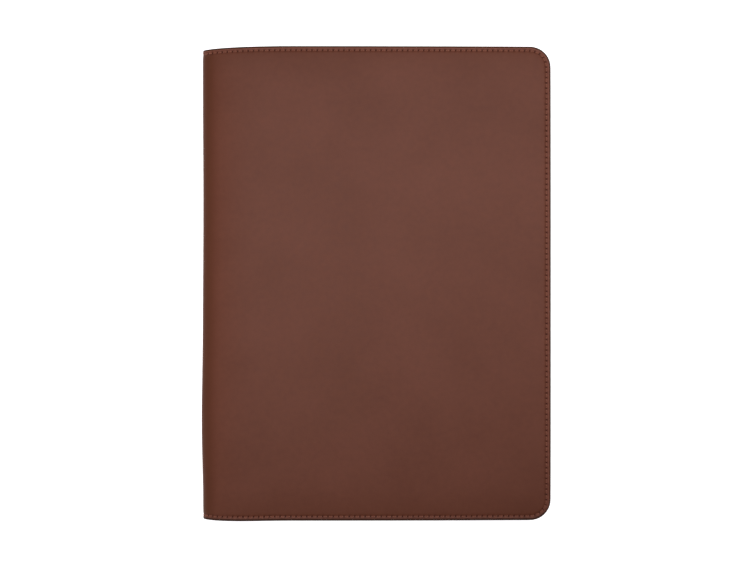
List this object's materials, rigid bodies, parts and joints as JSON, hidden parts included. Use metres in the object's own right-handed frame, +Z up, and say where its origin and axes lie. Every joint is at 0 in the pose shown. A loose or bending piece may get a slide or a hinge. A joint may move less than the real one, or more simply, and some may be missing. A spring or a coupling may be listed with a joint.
{
  "type": "leather document case",
  "caption": "Closed leather document case that folds like a book: a smooth hide round a sewn-in lining, with a rounded spine and rounded fore-edge corners, for A4 papers.",
  "frame": {"origin": "middle of the closed case's footprint, on the surface that its back cover lies on", "axes": "+X from the spine to the fore-edge, +Y from the tail to the head of the front cover, +Z up through both covers"},
  "size_m": [0.237, 0.3208, 0.018],
  "materials": {
    "cover_leather": "smooth semi-matt brown leather with a fine grain",
    "lining_leather": "matt brown lining leather",
    "edge_paint": "dark brown dressed and painted leather edge",
    "seam_thread": "waxed brown thread, tone on tone"
  },
  "bodies": {
    "root": {"cover": "cover_leather", "lining": "lining_leather"}
  },
  "joints": []
}
